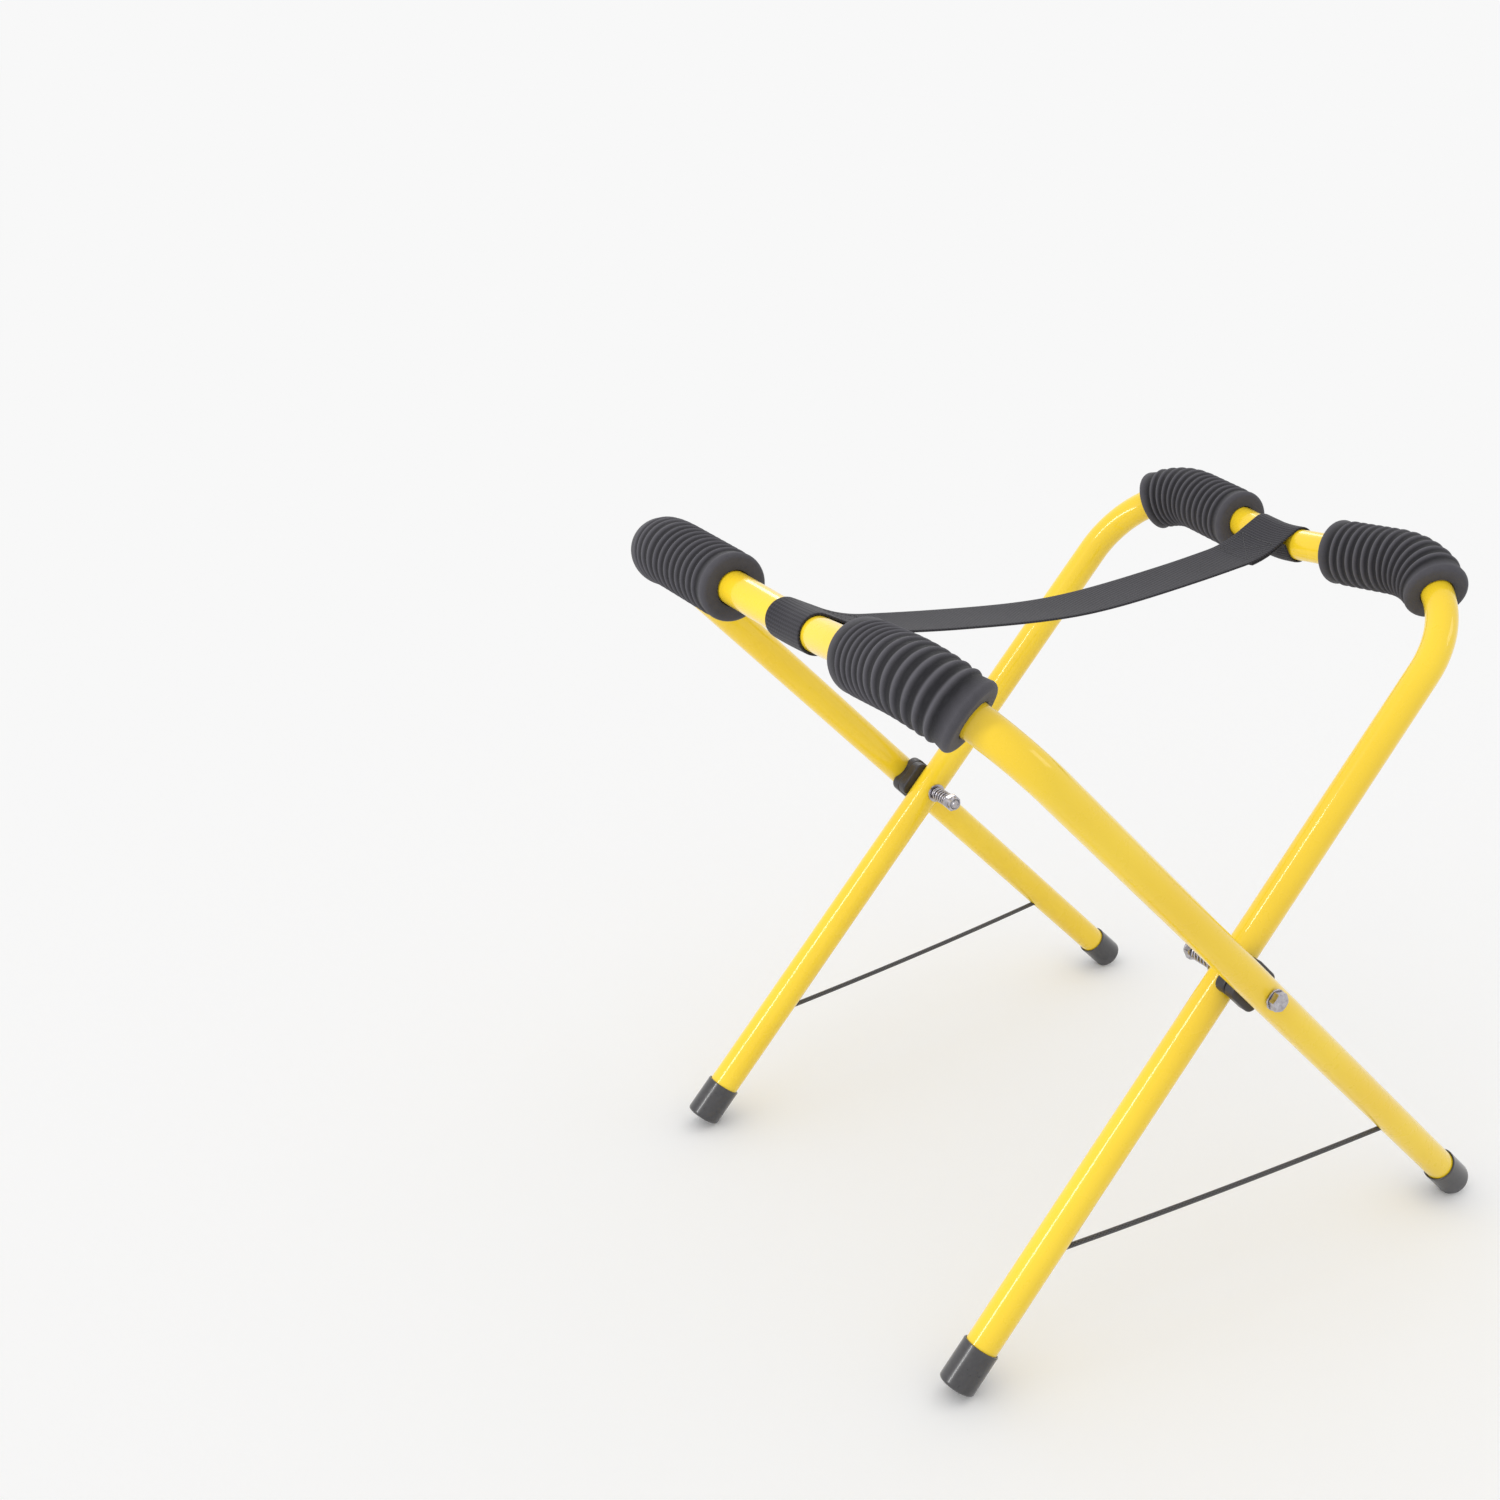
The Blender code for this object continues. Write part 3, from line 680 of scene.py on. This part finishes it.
def make_foot(name, side):
    """Rubber ferrule with a soft lip, worn flat where it stands."""
    rim, floor = -FOOT_END + FOOT_SLEEVE, -FOOT_END + FOOT_FLOOR
    bore = TUBE_RADIUS + GAP
    rounding = 0.0025
    outline = [(bore, rim - 0.0004), (bore + 0.0004, rim), (FOOT_RADIUS - 0.0006, rim),
               (FOOT_RADIUS - 0.0001, rim - 0.0003), (FOOT_RADIUS + 0.0001, rim - 0.0010),
               (FOOT_RADIUS, rim - 0.0020)]
    sleeve = -FOOT_END + rounding - rim
    outline += [(FOOT_RADIUS, rim + sleeve * step / 8) for step in range(1, 8)]
    for step in range(9):
        angle = math.radians(90.0) * step / 8
        outline.append((FOOT_RADIUS - rounding + rounding * math.cos(angle),
                        -FOOT_END + rounding - rounding * math.sin(angle)))
    outline += [(FOOT_RADIUS - rounding - 0.0023 * step, -FOOT_END) for step in range(1, 5)]
    outline += [(0.0, -FOOT_END), (0.0, floor), (bore * 0.5, floor), (bore, floor)]
    matrix = frame_matrix(name)
    turn = matrix.to_3x3()
    centre = matrix @ Vector((0.0, SIDES[side] * HALF_WIDTH[name], 0.0))
    axis = turn @ Vector((0.0, 0.0, 1.0))
    first, second = turn @ Vector((1.0, 0.0, 0.0)), Vector((0.0, 1.0, 0.0))
    sides = 72
    rings = [circle(centre + axis * along, first, second, max(radius, POINT_RADIUS), sides)
             for radius, along in outline]
    for ring in rings:
        for point in ring:
            point.z = max(point.z, 0.0)
    foot = loft("rubber_foot_" + name + "_" + side, rings, loop=True)
    shape = bmesh.new()
    shape.from_mesh(foot.data)
    bmesh.ops.remove_doubles(shape, verts=shape.verts, dist=0.00006)
    bmesh.ops.recalc_face_normals(shape, faces=shape.faces)
    shape.to_mesh(foot.data)
    shape.free()
    finish_mesh(foot.data)
    dress(foot, "black_rubber", name, ["foot_cap_" + name + "_" + side])


# ---------------------------------------------------------------- pivots

def along_bolt(side, distance):
    """Point on the bolt axis at a distance from the trestle's middle."""
    return Vector((PIVOT.x, SIDES[side] * distance, PIVOT.z))


def outward(side):
    return Vector((0.0, SIDES[side], 0.0))


def hexagon(name, side, near, height, chamfer_near=False):
    """Hexagon prism along the bolt, its corners turned down at the far end or at both."""
    radius = HEX_ACROSS_FLATS / 2.0 / math.cos(math.radians(30.0))
    axis = outward(side)
    first = Matrix.Rotation(math.radians(18.0), 3, axis) @ Vector((0.0, 0.0, 1.0))
    second = axis.cross(first)
    rings = [circle(along_bolt(side, near), first, second, radius, 6),
             circle(along_bolt(side, near + height), first, second, radius, 6)]
    prism = loft(name, rings)
    flat, full = HEX_ACROSS_FLATS / 2.0 * 0.94, radius * 1.02
    drop = (full - flat) * math.tan(math.radians(28.0))
    start = [(flat, 0.0), (full, drop)] if chamfer_near else [(full, 0.0), (full, 0.0002)]
    coin = lathe("coin", start + [(full, height - drop), (flat, height)],
                 along_bolt(side, near), axis, 96)
    apply_boolean(prism, coin, "INTERSECT")
    return prism


def washer(name, side, near):
    """Flat washer with softened edges."""
    radius, thickness = WASHER_RADIUS, WASHER_THICKNESS
    soft = 0.00025
    bore = BOLT_RADIUS + GAP
    outline = [(bore, soft), (bore + soft, 0.0), (radius - soft, 0.0), (radius, soft),
               (radius, thickness - soft), (radius - soft, thickness), (bore + soft, thickness),
               (bore, thickness - soft)]
    return ring_lathe(name, outline, along_bolt(side, near), outward(side), 72)


def make_bolt(side, head, nut):
    """Bolt with its hexagon head, shank and rolled thread."""
    tip = nut - BOLT_TIP
    root, crest = BOLT_RADIUS - THREAD_DEPTH, BOLT_RADIUS - 0.00004
    profile = [(BOLT_RADIUS - 0.0010, 0.0), (root, 0.0006)]
    along = 0.0010
    while tip + along + THREAD_PITCH < head - PLAIN_SHANK:
        profile += [(root, along), (crest, along + THREAD_PITCH * 0.42),
                    (crest, along + THREAD_PITCH * 0.58)]
        along += THREAD_PITCH
    profile += [(BOLT_RADIUS, along + 0.0006), (BOLT_RADIUS, head - tip + HEAD_HEIGHT * 0.5)]
    bolt = lathe("zinc_pivot_bolt_" + side, profile, along_bolt(side, tip), outward(side), 40)
    head_block = hexagon("head_block", side, head, HEAD_HEIGHT)
    apply_boolean(bolt, head_block, "UNION")
    dress(bolt, "zinc_plate", "outer", ["pivot_bolt_" + side])


def make_nut(side, near):
    """Lock nut with a turned collar and a nylon ring towards the bolt's tip."""
    collar = 0.0026
    block = hexagon("zinc_lock_nut_" + side, side, near + collar, NUT_HEIGHT - collar,
                    chamfer_near=True)
    ring_radius = HEX_ACROSS_FLATS / 2.0 * 0.90
    bore = BOLT_RADIUS + 0.0004
    sunk = collar + 0.0012           # the collar's end inside the hexagon
    outline = [(bore, 0.0004), (bore + 0.0006, 0.0), (ring_radius - 0.0012, 0.0),
               (ring_radius - 0.0003, 0.0003), (ring_radius, 0.0011), (ring_radius, sunk),
               (bore, sunk)]
    cap = ring_lathe("nut_collar", outline, along_bolt(side, near), outward(side), 64)
    apply_boolean(block, cap, "UNION")
    hole = tube_along("cutter", [along_bolt(side, near - 0.004), along_bolt(side, near + 0.012)],
                      bore, 40)
    apply_boolean(block, hole)
    dress(block, "zinc_plate", "outer", ["lock_nut_" + side])
    inside, outside = bore - 0.0002, ring_radius - 0.0016
    insert = ring_lathe("nylon_insert_" + side, [(inside, 0.0005), (outside, 0.0005),
                                                 (outside, -0.0002), (inside, -0.0002)],
                        along_bolt(side, near), outward(side), 48)
    insert.data.materials.append(NYLON)
    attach(insert, BODY["outer"])


def make_spring(side, low):
    """Compression spring with a close turn at each end."""
    close_pitch = 0.0020
    active = SPRING_LENGTH - 2.0 * SPRING_WIRE - 2.0 * close_pitch
    per_turn = 36
    points = []
    for step in range(int((SPRING_ACTIVE_TURNS + 2.0) * per_turn) + 1):
        turn = step / per_turn
        middle = min(max(turn - 1.0, 0.0), SPRING_ACTIVE_TURNS)
        along = close_pitch * (turn - middle) + active * middle / SPRING_ACTIVE_TURNS
        angle = 2.0 * math.pi * turn
        points.append(along_bolt(side, low + SPRING_WIRE + along)
                      + Vector((math.cos(angle), 0.0, math.sin(angle))) * SPRING_RADIUS)
    spring = tube_along("zinc_spring_" + side, points, SPRING_WIRE, 14)
    dress(spring, "zinc_plate", "outer", ["pivot_spring_" + side])


def saddle_ring(name, side, along, inset):
    """Rounded rectangle squared to a frame's leg, across the bolt axis."""
    turn = frame_matrix(name).to_3x3()
    corner = SADDLE_CORNER - inset
    points = []
    for quarter, (x_sign, z_sign) in enumerate(((1, 1), (-1, 1), (-1, -1), (1, -1))):
        for step in range(9):
            angle = math.radians(90.0) * (quarter + step / 8)
            x = x_sign * (SADDLE_HALF_WIDTH - SADDLE_CORNER) + corner * math.cos(angle)
            z = z_sign * (SADDLE_HALF_LENGTH - SADDLE_CORNER) + corner * math.sin(angle)
            points.append(along_bolt(side, along) + turn @ Vector((x, 0.0, z)))
    return points


def make_saddle(name, side):
    """Moulded saddle: flat towards the other frame, hollowed to hug its own tube."""
    split = (HALF_WIDTH["outer"] + HALF_WIDTH["inner"]) / 2.0
    away = 1.0 if name == "outer" else -1.0
    flat = split + away * GAP / 2.0
    hug = HALF_WIDTH[name] - away * (TUBE_RADIUS - SADDLE_HUG)
    low, high = sorted((flat, hug))
    soft = 0.0014                    # rounding of the edges
    angles = [math.radians(18.0 * step) for step in range(6)]
    rounding = [(soft * (1.0 - math.cos(angle)), soft * (1.0 - math.sin(angle)))
                for angle in angles]
    rings = [saddle_ring(name, side, low + rise, inset) for rise, inset in rounding]
    rings += [saddle_ring(name, side, high - rise, inset) for rise, inset in reversed(rounding)]
    saddle = loft("moulded_saddle_" + name + "_" + side, rings)
    direction = Vector((math.sin(TURN[name]), 0.0, math.cos(TURN[name]))) * 0.030
    centre = along_bolt(side, HALF_WIDTH[name])
    apply_boolean(saddle, tube_along("cutter", [centre - direction, centre + direction],
                                     TUBE_RADIUS + GAP, 64))
    ends = [along_bolt(side, split - 0.03), along_bolt(side, split + 0.03)]
    apply_boolean(saddle, tube_along("cutter", ends, BOLT_HOLE_RADIUS, 40))
    dress(saddle, "black_plastic", name, ["saddle_" + name + "_" + side])


def make_pivot(side):
    """Hardware on one bolt, stacked from the outer leg's face and from the inner leg's."""
    head_washer = HALF_WIDTH["outer"] + TUBE_RADIUS + GAP
    head = head_washer + WASHER_THICKNESS + GAP
    seat_washer = HALF_WIDTH["inner"] - TUBE_RADIUS - GAP - WASHER_THICKNESS
    spring_end = seat_washer - GAP - SPRING_LENGTH
    nut = spring_end - GAP - NUT_HEIGHT
    for role, place in (("head_washer_", head_washer), ("seat_washer_", seat_washer)):
        piece = washer("zinc_" + role + side, side, place)
        dress(piece, "zinc_plate", "outer", [role + side])
    make_bolt(side, head, nut)
    make_nut(side, nut)
    make_spring(side, spring_end)


# ---------------------------------------------------------------- sling

def bar_lift(across):
    """How much higher a bar's middle line is than at its centre, along its frame."""
    run = abs(across)
    if run < MIDDLE_ACROSS:
        height = BAR_CREST - math.sqrt(MIDDLE_RADIUS ** 2 - run ** 2)
    else:
        height = run * math.tan(BAR_RISE)
    return height - (BAR_CREST - MIDDLE_RADIUS)


WRAP_RADIUS = TUBE_RADIUS + GAP + WEB_THICKNESS / 2.0
BAR_MIDDLE = BAR_HEIGHT + BAR_CREST - MIDDLE_RADIUS
BAR_X = BAR_MIDDLE * math.sin(LEAN)
BAR_Z = PIVOT.z + BAR_MIDDLE * math.cos(LEAN)


def sag_height(x):
    """Height of the hanging part of the span at a distance from its middle."""
    return WEB_LOW + WEB_SLOPE * (math.hypot(x, WEB_EASE) - WEB_EASE)


def span_side():
    """Half of the span's side view, from its middle to its bar, and its slope at the bar."""
    seam = np.array([SEAM_REACH, sag_height(SEAM_REACH)])
    to_bar = np.array([BAR_X, BAR_Z]) - seam
    distance = float(np.hypot(*to_bar))
    slope = math.atan2(to_bar[1], to_bar[0]) + math.asin(WRAP_RADIUS / distance)
    up = np.array([math.cos(slope), math.sin(slope)])
    before = np.array([SEAM_REACH - SEAM_EASE, sag_height(SEAM_REACH - SEAM_EASE)])
    after = seam + up * SEAM_EASE
    end = seam + up * math.sqrt(distance ** 2 - WRAP_RADIUS ** 2)
    points = [(x, sag_height(x)) for x in np.linspace(0.0, before[0], 48)]
    for share in np.linspace(0.0, 1.0, 15)[1:]:
        points.append(tuple(before * (1.0 - share) ** 2 + seam * 2.0 * share * (1.0 - share)
                            + after * share ** 2))
    points += [tuple(after + (end - after) * share) for share in np.linspace(0.0, 1.0, 6)[1:]]
    return np.array(points), slope


SPAN, SPAN_SLOPE = span_side()
SPAN_END = SPAN[-1]


def under_span(x):
    """Point one ply under the span, and the span's direction there, towards its middle."""
    lean = math.atan(float(np.interp(x, SPAN[:, 0], np.gradient(SPAN[:, 1], SPAN[:, 0]))))
    drop = WEB_THICKNESS + TAIL_GAP
    height = float(np.interp(x, SPAN[:, 0], SPAN[:, 1]))
    point = np.array([x + drop * math.sin(lean), height - drop * math.cos(lean)])
    return point, np.array([-math.cos(lean), -math.sin(lean)])


def sling_half():
    """Half of the webbing's side view as (x, z): from its low point, over the bar, to its tail."""
    route = [tuple(point) for point in SPAN[:-1]]
    centre = np.array([BAR_X, BAR_Z])
    meet, inboard = under_span(SEW_START)
    offset = meet - centre
    bearing = math.atan2(offset[0], offset[1]) + 2.0 * math.pi
    leave = bearing - math.acos(WRAP_RADIUS / float(np.hypot(*offset)))
    for angle in np.linspace(-SPAN_SLOPE, leave, 64):
        route.append(tuple(centre + WRAP_RADIUS * np.array([math.sin(angle), math.cos(angle)])))
    start = np.array(route[-1])
    heading = np.array([math.cos(leave), -math.sin(leave)])
    reach = float(np.hypot(*(meet - start)))
    knots = [start, start + heading * reach * 0.55, meet - inboard * reach * 0.45, meet]
    for share in np.linspace(0.0, 1.0, 14)[1:]:
        rest = 1.0 - share
        point = (knots[0] * rest ** 3 + knots[1] * 3.0 * rest ** 2 * share
                 + knots[2] * 3.0 * rest * share ** 2 + knots[3] * share ** 3)
        route.append(tuple(point))
    for x in np.linspace(SEW_START, SEW_END, 14)[1:]:
        route.append(tuple(under_span(x)[0]))
    return route


def sling_line():
    """Whole side view of the webbing, tail to tail, and the index of its middle."""
    half = sling_half()
    left = [(-x, z) for x, z in reversed(half[1:])]
    return np.array(left + half), len(left)


def web_place(line, normals, index, share, lift):
    """Point of the webbing: index along its line, share of its width, lift off its middle ply."""
    x, z = line[index]
    x_end = SPAN_END[0]
    progress = min(max((x / x_end + 1.0) / 2.0, 0.0), 1.0)
    centre = WEB_CENTRE["outer"] + (WEB_CENTRE["inner"] - WEB_CENTRE["outer"]) * progress
    across = centre + share * WEB_WIDTH
    fade = min(max((abs(x) - (x_end - WEB_TURN_IN)) / WEB_TURN_IN, 0.0), 1.0)
    fade = fade * fade * (3.0 - 2.0 * fade)
    rise = bar_lift(across) * fade
    sign = 1.0 if x > 0.0 else -1.0
    sag = -WEB_DISH * (1.0 - (2.0 * share) ** 2) * (1.0 - fade)
    return Vector((PIVOT.x + x + sign * rise * math.sin(LEAN) + normals[index][0] * lift, across,
                   z + rise * math.cos(LEAN) + sag + normals[index][1] * lift))


def line_normals(line):
    """Unit normals of the side view, to the left of its direction."""
    ahead = np.gradient(line, axis=0)
    ahead /= np.linalg.norm(ahead, axis=1)[:, None]
    return np.stack([-ahead[:, 1], ahead[:, 0]], axis=1)


def web_fullness(share):
    """Share of the webbing's thickness left at a place across it: its selvedges are thinner."""
    if abs(share) > 0.495:
        return 0.35
    return 0.85 if abs(share) > 0.48 else 1.0


def make_sling():
    """One length of webbing: tail, loop, span, loop, tail."""
    line, middle = sling_line()
    normals = line_normals(line)
    shares = [-0.5, -0.492, -0.47] + list(np.linspace(-0.42, 0.42, 13)) + [0.47, 0.492, 0.5]
    half = WEB_THICKNESS / 2.0
    rings = []
    for index in range(len(line)):
        top = [web_place(line, normals, index, share, half * web_fullness(share))
               for share in shares]
        bottom = [web_place(line, normals, index, share, -half * web_fullness(share))
                  for share in reversed(shares)]
        rings.append(top + bottom)
    sling = loft("sling_webbing", rings, around=2.0 * WEB_WIDTH)
    dress(sling, "black_webbing",
          replaced=["sling_strap", "strap_loop_outer", "strap_loop_inner"])
    stitches = [make_stitches(line, normals, middle, name) for name in ("outer", "inner")]
    for piece in [sling] + stitches:
        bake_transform(piece)


def make_stitches(line, normals, middle, name):
    """Box stitch with a cross through the span and the tail, thread showing on the upper face."""
    sign = -1 if name == "outer" else 1
    margin, side_share = 0.0015, 0.38
    near, far = SEW_START - margin, SEW_END + margin

    def surface(x, share, lift):
        place = int(np.clip(np.searchsorted(SPAN[:, 0], x), 1, len(SPAN) - 1))
        mix = (x - SPAN[place - 1, 0]) / (SPAN[place, 0] - SPAN[place - 1, 0])
        low = web_place(line, normals, middle + sign * (place - 1), share, lift)
        high = web_place(line, normals, middle + sign * place, share, lift)
        return low.lerp(high, float(mix))

    corners = [(near, -side_share), (near, side_share), (far, side_share), (far, -side_share)]
    runs = [(corners[i], corners[(i + 1) % 4]) for i in range(4)]
    runs += [(corners[0], corners[2]), (corners[1], corners[3])]
    pitch, thread = 0.0030, 0.00028
    faces, verts = [], []
    for (x_a, v_a), (x_b, v_b) in runs:
        length = math.hypot(x_b - x_a, (v_b - v_a) * WEB_WIDTH)
        count = max(int(length / pitch), 1)
        for stitch in range(count):
            base = len(verts)
            for step in range(6):
                share = (stitch + 0.12 + 0.76 * step / 5) / count
                bulge = math.sin(math.pi * step / 5)
                lift = WEB_THICKNESS / 2.0 - thread * 0.5 + bulge * thread * 1.1
                centre, ahead = (surface(x_a + (x_b - x_a) * at, v_a + (v_b - v_a) * at, lift)
                                 for at in (share, share + 0.001))
                tangent = (ahead - centre).normalized()
                side = tangent.cross(Vector((0.0, 0.0, 1.0))).normalized()
                verts += circle(centre, side, tangent.cross(side), thread, 6)
            for step in range(5):
                for corner in range(6):
                    beside = (corner + 1) % 6
                    low, high = base + step * 6, base + step * 6 + 6
                    faces.append((low + corner, low + beside, high + beside, high + corner))
            faces.append(tuple(base + corner for corner in reversed(range(6))))
            faces.append(tuple(base + 30 + corner for corner in range(6)))
    mesh = bpy.data.meshes.new("sling_stitches_" + name)
    mesh.from_pydata([tuple(vert) for vert in verts], [], faces)
    mesh.uv_layers.new(name="UVMap")
    finish_mesh(mesh, 60.0)
    piece = link("sling_stitches_" + name, mesh)
    dress(piece, "black_cord")
    return piece


# ---------------------------------------------------------------- studio

def make_studio():
    """Pale seamless floor, soft light all round and a long key for highlights."""
    half = 80.0
    mesh = bpy.data.meshes.new("floor")
    mesh.from_pydata([(-half, -half, 0.0), (half, -half, 0.0), (half, half, 0.0),
                      (-half, half, 0.0)], [], [(0, 1, 2, 3)])
    floor = link("floor", mesh)
    floor.location.z = -0.0002           # just clear of the feet
    material, _, shader = new_material("pale_floor")
    shader.inputs["Base Color"].default_value = (1.0, 1.0, 1.0, 1.0)
    shader.inputs["Roughness"].default_value = 1.0
    shader.inputs["Specular IOR Level"].default_value = 0.0
    mesh.materials.append(material)
    unlit = bpy.data.collections.new("unlit_by_lamps")
    unlit.objects.link(floor)
    unlit.collection_objects[0].light_linking.link_state = "EXCLUDE"

    world = bpy.data.worlds.new("studio")
    bpy.context.scene.world = world
    world.use_nodes = True
    background = world.node_tree.nodes["Background"]
    background.inputs["Color"].default_value = (1.0, 1.0, 1.0, 1.0)
    background.inputs["Strength"].default_value = 0.939

    aim = Vector((0.0, 0.0, 0.3))
    lights = [                           # name, place, size, power
        ("key", (-1.6, 0.0, 1.3), (0.20, 1.6), 15.0),
        ("fill", (1.8, -1.6, 1.6), (1.0, 0.7), 4.0),
        ("back", (0.8, 1.9, 1.8), (1.0, 0.6), 8.0),
    ]
    for name, place, (width, height), power in lights:
        data = bpy.data.lights.new(name, "AREA")
        data.shape = "RECTANGLE"
        data.size, data.size_y = width, height
        data.energy = power
        lamp = bpy.data.objects.new(name, data)
        bpy.context.scene.collection.objects.link(lamp)
        lamp.location = place
        lamp.light_linking.receiver_collection = unlit
        lamp.rotation_euler = (aim - Vector(place)).to_track_quat("-Z", "Y").to_euler()
    bpy.context.scene.view_settings.view_transform = "Standard"


def dress_knots():
    """The knots inside the legs keep their shape and take the cord's look."""
    for name in HALF_WIDTH:
        for side in SIDES:
            knot = frame["nodes"]["cord_knot_" + name + "_" + side]
            knot.data.materials.clear()
            knot.data.materials.append(LOOKS["black_cord"])


make_camera()
for each in SIDES:
    make_limit_cord(each)
for frame_name in HALF_WIDTH:
    make_frame_tube(frame_name)
    for each in SIDES:
        make_grip(frame_name, each)
        make_foot(frame_name, each)
        make_saddle(frame_name, each)
for each in SIDES:
    make_pivot(each)
make_sling()
dress_knots()
make_studio()
